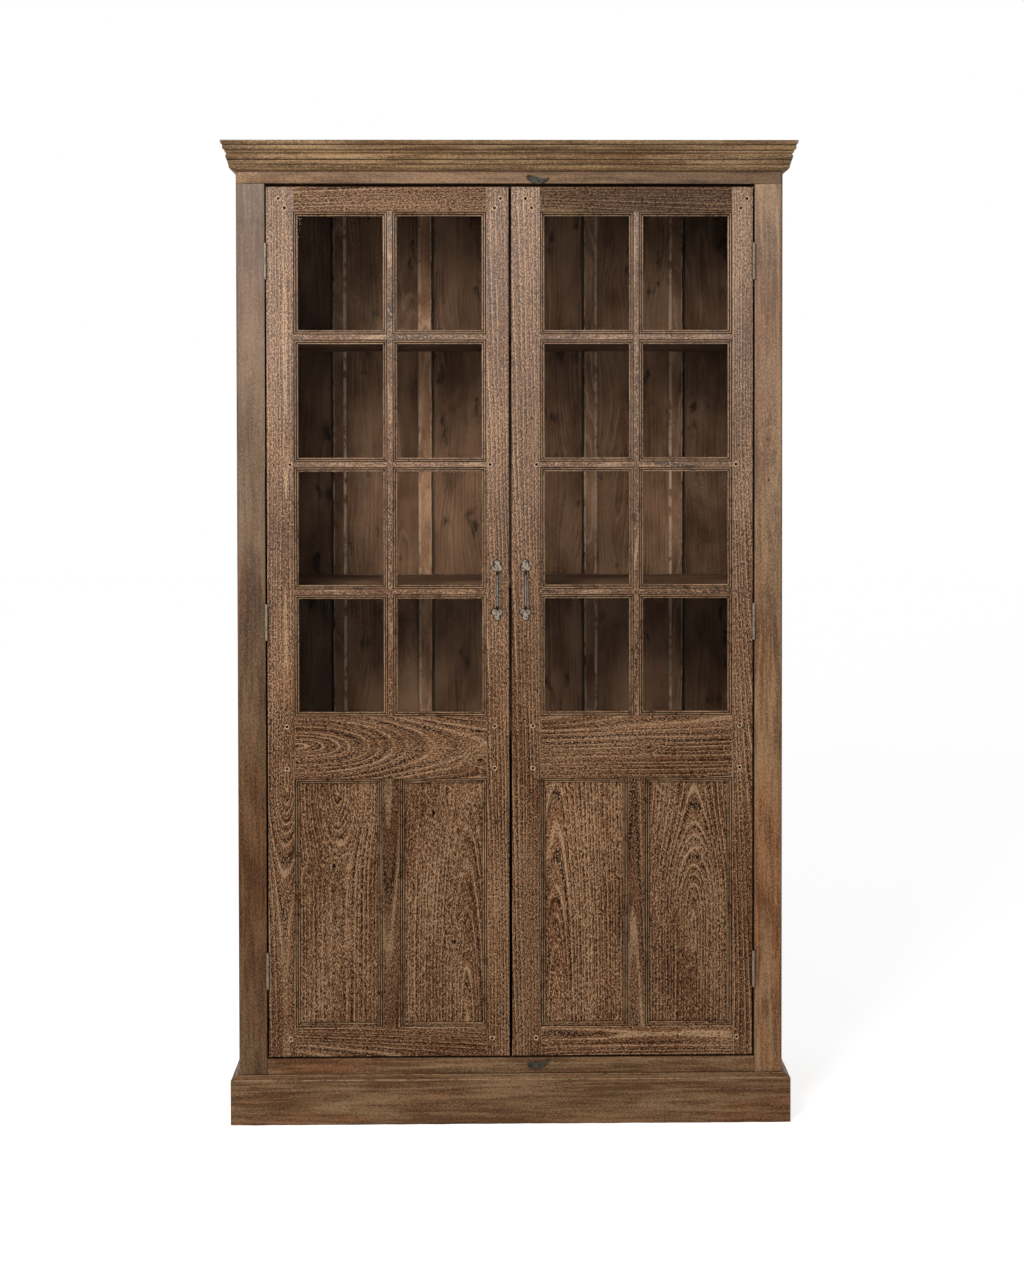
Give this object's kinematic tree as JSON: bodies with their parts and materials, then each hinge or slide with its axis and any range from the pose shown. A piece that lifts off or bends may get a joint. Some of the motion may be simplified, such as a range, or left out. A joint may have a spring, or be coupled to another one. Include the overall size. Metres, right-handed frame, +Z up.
{
  "type": "cabinet",
  "caption": "Tall glazed display cabinet with small-paned doors over sunk wooden panels, moulded cornice, chamfered plinth, pegged frames, pull handles and turn buttons.",
  "frame": {"origin": "on the floor under the middle of the cabinet's bounding box", "axes": "+Z up, -Y out of the doors towards the viewer, +X to the viewer's right"},
  "size_m": [1.216, 0.448, 2.086],
  "materials": {
    "door_wood": "wire-brushed open grain, reddish brown, low sheen",
    "frame_wood": "aged grey-brown hardwood, low sheen",
    "cornice_wood": "light tan moulding, waxed",
    "inner_wood": "darker unpolished boards",
    "peg_wood": "dark end grain",
    "pane_glass": "clear float glass",
    "hinge_iron": "dark aged iron",
    "handle_iron": "cast iron with a pale worn patina",
    "button_iron": "grey-olive aged iron",
    "nail_iron": "dark iron nail heads"
  },
  "bodies": {
    "carcass": {"cornice_front": "cornice_wood", "plinth_front": "frame_wood", "cornice_left": "cornice_wood", "plinth_left": "frame_wood", "cornice_right": "cornice_wood", "plinth_right": "frame_wood", "side_left": "frame_wood", "side_right": "frame_wood", "post_left": "frame_wood", "post_right": "frame_wood", "frieze_rail": "frame_wood", "sill_rail": "frame_wood", "top_board": "inner_wood", "floor_board": "inner_wood", "shelf_upper": "inner_wood", "shelf_middle": "inner_wood", "shelf_lower": "inner_wood", "shelf_cleats": "inner_wood", "door_stop": "inner_wood", "back_boards": "inner_wood", "back_unit_stiles": "inner_wood", "back_unit_rails": "inner_wood", "back_unit_panels": "inner_wood", "post_hinge_leaves": "hinge_iron", "hinge_pins": "hinge_iron", "button_nails": "nail_iron"},
    "left_door": {"left_door_hinge_stile": "door_wood", "left_door_meeting_stile": "door_wood", "left_door_top_rail": "door_wood", "left_door_lock_rail": "door_wood", "left_door_bottom_rail": "door_wood", "left_door_muntin": "door_wood", "left_door_upright_bar": "door_wood", "left_door_cross_bars": "door_wood", "left_door_left_panel": "door_wood", "left_door_right_panel": "door_wood", "left_door_glass": "pane_glass", "left_door_glazing_beads": "door_wood", "left_door_pegs": "peg_wood", "left_door_hinge_leaves": "hinge_iron", "left_door_pull_handle": "handle_iron"},
    "right_door": {"right_door_hinge_stile": "door_wood", "right_door_meeting_stile": "door_wood", "right_door_top_rail": "door_wood", "right_door_lock_rail": "door_wood", "right_door_bottom_rail": "door_wood", "right_door_muntin": "door_wood", "right_door_upright_bar": "door_wood", "right_door_cross_bars": "door_wood", "right_door_left_panel": "door_wood", "right_door_right_panel": "door_wood", "right_door_glass": "pane_glass", "right_door_glazing_beads": "door_wood", "right_door_pegs": "peg_wood", "right_door_hinge_leaves": "hinge_iron", "right_door_pull_handle": "handle_iron"},
    "upper_button": {"upper_button": "button_iron"},
    "lower_button": {"lower_button": "button_iron"}
  },
  "joints": [
    {"name": "left_door_hinge", "type": "hinge", "parent": "carcass", "child": "left_door", "pos_m": [-0.5175, -0.1991, 1.069], "axis": [0, 0, -1], "range_deg": [0, 170]},
    {"name": "right_door_hinge", "type": "hinge", "parent": "carcass", "child": "right_door", "pos_m": [0.5175, -0.1991, 1.069], "axis": [0, 0, 1], "range_deg": [0, 170]},
    {"name": "upper_button_pivot", "type": "hinge", "parent": "carcass", "child": "upper_button", "pos_m": [0.04, -0.1979, 2.0108], "axis": [0, 1, 0], "range_deg": [0, 150]},
    {"name": "lower_button_pivot", "type": "hinge", "parent": "carcass", "child": "lower_button", "pos_m": [0.04, -0.1979, 0.121], "axis": [0, -1, 0], "range_deg": [0, 150]}
  ]
}
